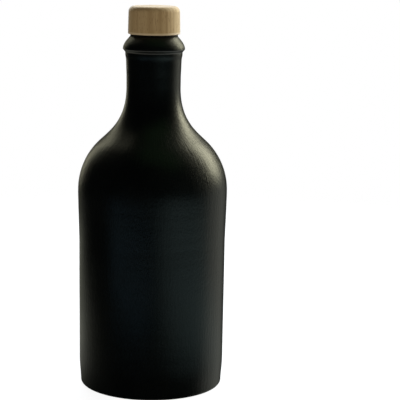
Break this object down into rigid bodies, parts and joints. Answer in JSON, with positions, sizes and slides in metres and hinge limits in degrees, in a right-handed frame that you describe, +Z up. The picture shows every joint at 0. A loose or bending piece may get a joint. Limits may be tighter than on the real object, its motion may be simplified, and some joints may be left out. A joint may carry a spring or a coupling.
{
  "type": "oil bottle",
  "caption": "Black satin-glazed stoneware oil bottle with round shoulders and a slim collared neck, shut by a stopper with a beech head.",
  "frame": {"origin": "centre of the foot, on the surface that the bottle stands on", "axes": "+Z up along the bottle's axis, towards the stopper; the bottle is round, so X and Y are free, and the picture looks along +Y"},
  "size_m": [0.0822, 0.0822, 0.2105],
  "materials": {
    "glaze": "satin matt black glaze over stoneware",
    "beech": "turned, plain untreated beech"
  },
  "bodies": {
    "root": {"bottle": "glaze", "stopper_head": "beech"}
  },
  "joints": []
}
